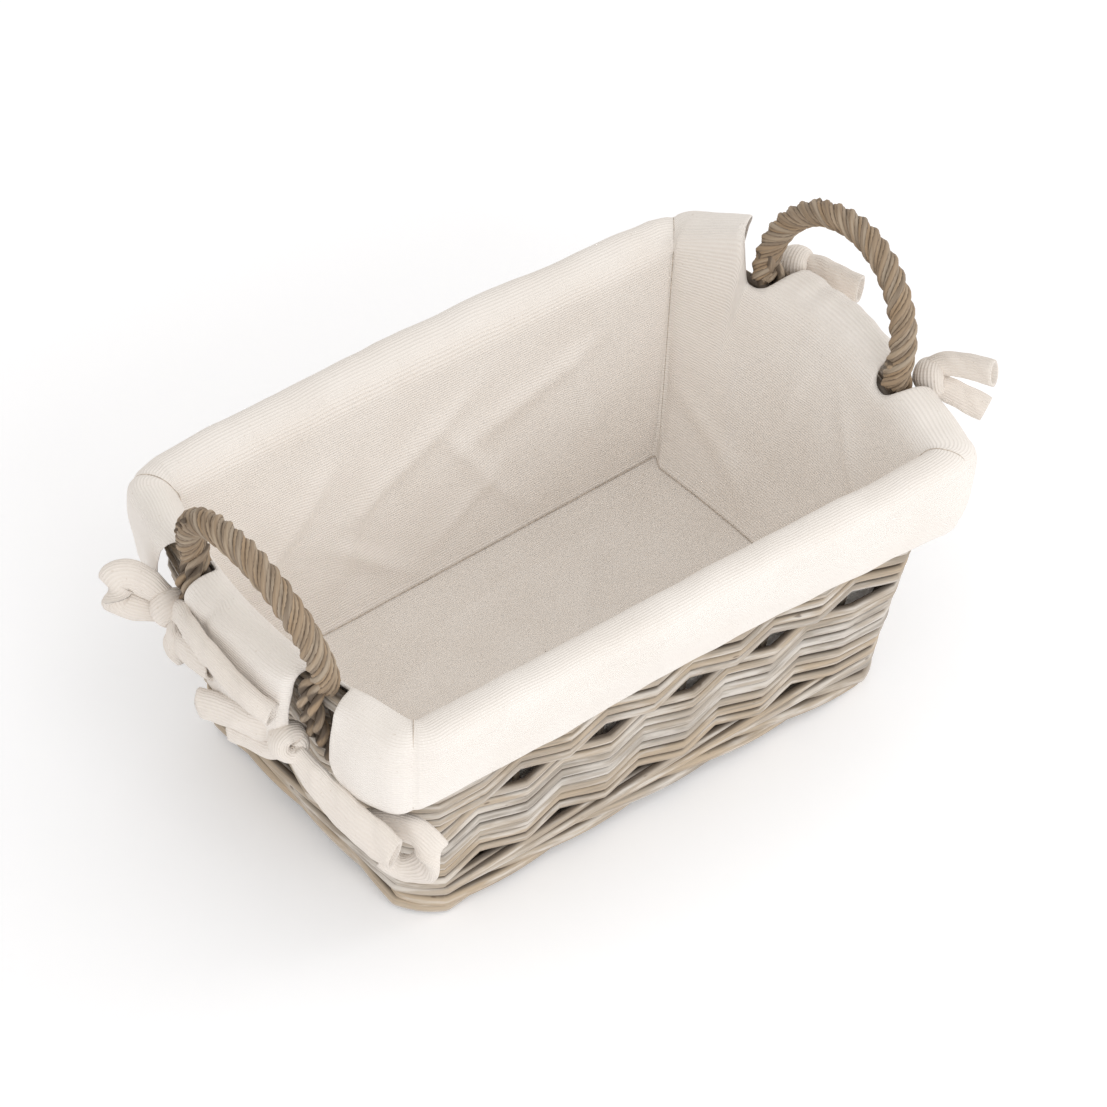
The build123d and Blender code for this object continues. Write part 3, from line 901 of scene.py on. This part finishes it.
# How much the cuffs are creased round the loop: smooth along the sides, more at the ends.
CREASING = ((0, 0.9), (1, 0.9), (2, 1.7), (3, 1.7), (4, 0.9), (5, 0.9), (6, 1.7), (7, 1.7), (8, 0.9))


def crumple(point):
    broad = noise.noise(Vector(point) / 42)
    return 1.8 * broad + 1.0 * noise.noise(Vector(point) / 19 + Vector((9, 9, 9)))


def wall_push(name, along, s, z):
    """How far the soft folds stand in from a wall."""
    if name not in WALL_FOLDS:
        return 0.0
    rise = min(1.0, (z - LINER_FLOOR) / 25) * min(1.0, max(0.0, (156 - z) / 20))
    slack = 0.7 + 0.8 * noise.noise(Vector((s * 3.1, z / 30, 2.0)))
    return rise * (fold_sum(WALL_FOLDS[name], along, z) + slack)


def cuff_push(name, zone, s, point, reach, low):
    """How far the folded cuff stands out from its plain shape."""
    y = point[1]
    corner_gap = min(abs(s % 8 - k - 0.5) for k in (1, 3, 5, 7))
    seam = -1.8 * exp(-corner_gap / 0.05)
    puff = 1.5 * sin(pi * min(1.0, 0.15 + low))
    hem = -2.2 * max(0.0, (low - 0.9) / 0.1) ** 2
    out = keyed(CREASING, s % 8) * crumple(point) + seam + puff + hem
    for at, top, bottom in BELLIES:
        out += min(1.0, reach / 0.3) * exp(-((s - at) / 0.4) ** 2) * (top + (bottom - top) * low)
    if zone == "middle":
        out += 4.0 * min(1.0, reach / 0.3) + (2.5 * low if name == "left" else 0.0)
        out -= 1.8 * exp(-((y - 14.0) / 2.4) ** 2) * (name == "left")
    return out


def liner_point(column, z, inset, stage, turn, reach):
    """Where one point of the liner lies, and its flat position on the cloth. turn is how far along
    the profile it is in mm, reach how far it is from the lip to the bottom edge."""
    s, name, zone, t = column
    low = (SKIRT_TOP - z) / (SKIRT_TOP - CUFF_BOTTOM) if stage == "skirt" else 0.0
    rim_z = RIM_HEIGHT if stage == "skirt" else min(z, RIM_HEIGHT)
    s = column_s(column, reach, rim_z)
    if zone in ("notch_a", "notch_b") and z > 150.5:
        dip = sin(pi * t) ** 0.6
        z -= 0.9 * dip * (z - 150.5)
        inset += dip * max(0.0, 12.0 - inset)
    x, y, _ = around(rim_z, s, inset)
    stand = stand_up(s, name, zone, t)
    rise = 0.0
    push = 0.0
    if stage == "wall":
        push = wall_push(name, x if name in ("front", "back") else y, s, z)
        push += keyed(FLOOR_SLACK, s % 8) * max(0.0, 1 - (z - LINER_FLOOR) / 45) ** 2
        rise = stand * max(0.0, (z - 60) / 98) ** 3
    elif stage in ("fold", "skirt"):
        push = -cuff_push(name, zone, s, (x, y, z), reach, low)
        rise = stand * (1 - low)
    if stage in ("lip", "fold"):
        broad = 1.6 * noise.noise(Vector((x, y, 40.0)) / 34)
        rise = stand + broad + 0.9 * noise.noise(Vector((x, y, 70.0)) / 14)
        rise += BACK_PUFF * exp(-((s - 4.55) / 0.42) ** 2)
        if zone == "middle" and name == "right":
            rise += reach / 0.3 * (4.0 + 3.0 * noise.noise(Vector((s * 19.0, 4.0, 1.0))))
    if stage == "skirt":
        rise += (low * (keyed(CUFF_EDGE, s % 8) - CUFF_BOTTOM)
                 + 0.8 * low * noise.noise(Vector((s * 4.3, 2.0, 3.0))))
    x, y, _ = around(rim_z, s, inset + push)
    return (x, y, z + rise), (abs(arc_share(s) - 0.5) * LOOP_LENGTH, turn, 0.0)


def profile_turns(profile):
    """How far each row is along the profile, and how far between the lip and the bottom edge."""
    turns = [0.0]
    for (z0, i0, _), (z1, i1, _) in zip(profile, profile[1:]):
        turns.append(turns[-1] + hypot(z1 - z0, i1 - i0))
    lip = turns[next(k for k, row in enumerate(profile) if row[2] == "lip")]
    return turns, [max(0.0, (turn - lip) / (turns[-1] - lip)) for turn in turns]


WELD_DISTANCE = 0.0002      # metres
FLOOR_RINGS = 26
FLOOR_REACH = 1.008         # how far the floor runs on under the walls, as a share of its size


def make_liner(material):
    """One sewn cotton bag: floor, four walls, and the top folded out over the rim as cuffs."""
    cloth = Cloth()
    columns = cloth_columns()
    profile = liner_profile()
    turns, reaches = profile_turns(profile)
    rows = [[liner_point(column, z, inset, stage, turn, reach) for column in columns]
            for (z, inset, stage), turn, reach in zip(profile, turns, reaches)]
    last_lip = max(k for k, row in enumerate(profile) if row[2] == "lip")

    def keep(i, j):
        return i < last_lip or columns[j][2] not in ("notch_a", "notch_b")
    cloth.grid(rows, True, keep)

    outline = [row[0] for row in rows[0]]
    rings = []
    for k in range(-1, FLOOR_RINGS + 1):
        t = FLOOR_REACH if k < 0 else 1 - k / FLOOR_RINGS
        ring = []
        for x, y, z in outline:
            px, py = x * t, y * t
            edge = min(1.0, max(0, k) / 4)
            lift = edge * (fold_sum(FLOOR_FOLDS, px, py) + 0.5 * noise.noise(Vector((px / 26, py / 26, 1.0))))
            ring.append(((px, py, z + lift + 0.2), (px, py + 400.0, 0.0)))
        rings.append(ring)
    cloth.grid(rings, True)
    piece = cloth.build("liner", material, LINER_THICKNESS, smooth=1)
    weld(piece, WELD_DISTANCE)
    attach(piece, "liner")
    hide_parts("liner_floor", *["liner_wall_" + side for side in SIDES], "liner_fold_front",
                "liner_fold_back", "cuff_front", "cuff_back", *["corner_cuff_" + name for name in CORNERS],
                "end_flap_left", "end_flap_right")
    return piece


def weld(piece, distance):
    mesh = bmesh.new()
    mesh.from_mesh(piece.data)
    bmesh.ops.remove_doubles(mesh, verts=mesh.verts, dist=distance)
    mesh.to_mesh(piece.data)
    mesh.free()


FLOOR_SEAM_RADIUS = 0.24
CORNER_SEAM_RADIUS = 0.22
SEAM_LIFT = 0.6             # how far a corner seam stands off the middle of the cloth


def make_seams(material):
    """The stitched seams: round the floor, and up the four corners, over the lip and down the cuff."""
    rods = Rods()
    profile = liner_profile()
    _, reaches = profile_turns(profile)
    outline = []
    for column in cloth_columns():
        point, _ = liner_point(column, LINER_FLOOR + 0.9, LINER_INSET + 1.7, "wall", 0.0, 0.0)
        outline.append(point)
    rods.add(outline, FLOOR_SEAM_RADIUS, (0, 0, 1), closed=True, sides=6)
    for index in (1, 3, 5, 7):
        column = (index + 0.5, LOOP[index][0], "corner", 0.5)
        path = []
        for k in range(1, len(profile)):
            before, after = profile[k - 1], profile[min(k + 1, len(profile) - 1)]
            rise, inwards = after[0] - before[0], after[1] - before[1]
            length = hypot(rise, inwards)
            z, inset, stage = profile[k]
            point, _ = liner_point(column, z, inset, stage, 0.0, reaches[k])
            outside, _ = liner_point(column, z, inset + SEAM_LIFT * rise / length, stage, 0.0, reaches[k])
            path.append((outside[0], outside[1], point[2] - SEAM_LIFT * inwards / length))
        rods.add(spline(path, 3), CORNER_SEAM_RADIUS, (1, 0.3, 0), sides=6)
    piece = rods.piece("liner_seams", material)
    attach(piece, "liner")
    return piece


# --- ties ---
def spline(points, steps=10):
    """A smooth line through the points (Catmull-Rom)."""
    points = [np.array(p, float) for p in points]
    padded = [2 * points[0] - points[1]] + points + [2 * points[-1] - points[-2]]
    line = []
    for a, b, c, d in zip(padded, padded[1:], padded[2:], padded[3:]):
        for k in range(steps):
            t = k / steps
            line.append(0.5 * (2 * b + (c - a) * t + (2 * a - 5 * b + 4 * c - d) * t * t
                               + (3 * b - a - 3 * c + d) * t ** 3))
    line.append(points[-1])
    return np.array(line)


TAPE_FLAT = 14.0            # a tape's usual width, which sets how many ribs run along it
TAPE_SIDES = 18             # points round a tape
TAPE_SKIN = 0.01            # thickness of the skin, in mm
KNOT_RADIUS = 4.5


def tape(cloth, points, widths, wide=(0.15, 0.1, 1.0), thickness=7.5, *, seed):
    """A soft sewn tube along a smooth line. wide says which way its width points."""
    line = spline(points)
    count = len(line)
    width = np.interp(np.linspace(0, 1, count), np.linspace(0, 1, len(widths)), widths)
    tangent = unit(np.gradient(line, axis=0))
    wide = np.array(wide, float)[None, :]
    wide = unit(wide - (wide * tangent).sum(1, keepdims=True) * tangent)
    flat = np.cross(tangent, wide)
    run = np.concatenate([[0], np.cumsum(np.linalg.norm(np.diff(line, axis=0), axis=1))])

    def ring(k, scale, back):
        row = []
        pinch = 1 + 0.09 * wander(seed, run[k], 9)
        for j in range(TAPE_SIDES):
            angle = 2 * pi * j / TAPE_SIDES
            c, s = cos(angle), sin(angle)
            across = c * width[k] / 2 * pinch
            ripple = 0.9 * wander(seed + 3, run[k] + 9 * c, 7) + 0.5 * wander(seed + 6, run[k] + 5 * c, 3)
            deep = abs(s) ** 0.8 * (1 if s > 0 else -1) * (thickness / 2 + ripple)
            point = line[k] + scale * (across * wide[k] + deep * flat[k]) - back * tangent[k]
            row.append((tuple(point), (run[k] - back, TAPE_FLAT * abs(2 * j / TAPE_SIDES - 1), 0.0)))
        return row
    rows = [ring(0, 0.02, 0)] + [ring(k, 1, 0) for k in range(count)]
    rows += [ring(count - 1, 0.76, 0.0), ring(count - 1, 0.7, 5.0), ring(count - 1, 0.02, 6.0)]
    cloth.grid(rows, True)


def wrap(cloth, centre, axis):
    """The turn of tape that makes a knot, wound a little over once about the axis."""
    axis = Vector(axis).normalized()
    first = axis.orthogonal().normalized()
    second = axis.cross(first)
    ring = []
    for k, a in enumerate(np.linspace(0, 2.2 * pi, 10)):
        out = (KNOT_RADIUS + 0.15 * k) * (cos(a) * first + sin(a) * second)
        ring.append(tuple(Vector(centre) + out + 0.25 * k * axis))
    tape(cloth, ring, (12, 16, 14, 17, 13), tuple(axis), thickness=9.0, seed=20)


# The bows. Each knot has its middle and the direction its wrap is wound about; each tape its route
# and its widths along it.
BOWS = {
    "front_left": {
        "knot": ((-191, -48, 117), (0.2, 0.9, -0.3)),
        "tapes": [
            ([(-189, -42, 120), (-196, -30, 118), (-201, -14, 116), (-205, 6, 109)], (12, 16, 17, 16)),
            ([(-188, -42, 110), (-193, -34, 105), (-196, -21, 103), (-199, -10, 101)], (11, 14, 14, 13)),
            ([(-190, -52, 113), (-189, -68, 106), (-187, -88, 100), (-184, -104, 97), (-181, -118, 94)],
             (14, 20, 22, 22, 21)),
            ([(-182, -84, 90), (-172, -101, 95), (-166, -116, 98), (-163, -123, 90), (-163, -118, 75),
              (-167, -106, 66), (-173, -97, 70)], (12, 15, 17, 17, 17, 15, 12)),
        ],
    },
    "back_left": {
        "knot": ((-190, 52, 126), (0.1, 0.8, 0.5)),
        "tapes": [
            ([(-190, 56, 131), (-196, 62, 139), (-202, 67, 144), (-207, 71, 142), (-209, 72, 134),
              (-206, 71, 127), (-201, 66, 124), (-193, 58, 123)], (12, 16, 18, 19, 18, 17, 16, 12)),
            ([(-191, 48, 124), (-194, 44, 117), (-194, 41, 110), (-193, 40, 104)], (13, 15, 13, 8)),
            ([(-190, 46, 130), (-196, 32, 141), (-201, 18, 145), (-203, 2, 145), (-203, -14, 143),
              (-202, -30, 140), (-198, -44, 137)], (12, 14, 14, 14, 14, 14, 13)),
            ([(-190, 46, 118), (-195, 36, 118), (-197, 20, 124), (-199, 5, 130)], (12, 15, 16, 15)),
        ],
    },
    "front_right": {
        "knot": ((198, -55, 151), (0.4, -0.8, 0.3)),
        "tapes": [
            ([(198, -54, 155), (203, -60, 160), (208, -70, 163), (213, -85, 166)], (11, 13, 14, 15)),
            ([(197, -58, 149), (203, -66, 146), (208, -74, 143), (213, -82, 140)], (11, 14, 15, 15)),
        ],
    },
    "back_right": {
        "knot": ((199, 53, 151), (0.3, -0.9, 0.2)),
        "tapes": [([(200, 52, 151), (205, 44, 151), (209, 31, 151), (213, 17, 151)], (12, 15, 16, 16))],
    },
}


def make_bow(name, material):
    """One tie: a knot outside the handle foot, its loops and its tails."""
    cloth = Cloth()
    bow = BOWS[name]
    for k, (points, widths) in enumerate(bow["tapes"]):
        tape(cloth, points, widths, seed=len(name) + 3 * k)
    wrap(cloth, *bow["knot"])
    piece = cloth.build("bow_" + name, material, TAPE_SKIN, smooth=0)
    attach(piece, "liner")
    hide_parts("knot_" + name, "tie_tails_" + name)
    return piece


# --- build ---
bpy.context.scene.view_settings.view_transform = "Standard"
make_camera()
make_studio_light()
make_floor()

wall_willow = willow_material("wall_willow", tan=(0.53, 0.425, 0.31), grey=(0.47, 0.42, 0.365),
                              pale=(0.79, 0.75, 0.7), wash=0.64)
frame_willow = willow_material("frame_willow", tan=(0.34, 0.25, 0.16), grey=(0.28, 0.24, 0.2),
                               pale=(0.5, 0.48, 0.45), wash=0.3)
handle_willow = willow_material("handle_willow", tan=(0.4, 0.285, 0.18), grey=(0.29, 0.225, 0.165),
                                pale=(0.58, 0.49, 0.38), wash=0.42)
liner_cotton = cotton_material("liner_cotton", (0.905, 0.86, 0.815), (0.8, 0.735, 0.67), 0.0014)
tape_cotton = cotton_material("tape_cotton", (0.85, 0.79, 0.73), (0.74, 0.66, 0.58), 0.0011)
seam_thread = thread_material("seam_thread", (0.7, 0.61, 0.52))

make_wall(wall_willow)
make_stakes(frame_willow)
make_foot(wall_willow)
make_border(wall_willow)
make_base(wall_willow)
for side in ("left", "right"):
    make_handle(side, handle_willow)

liner = make_liner(liner_cotton)
seam_piece = make_seams(seam_thread)
bows = [make_bow(name, tape_cotton) for name in BOWS]
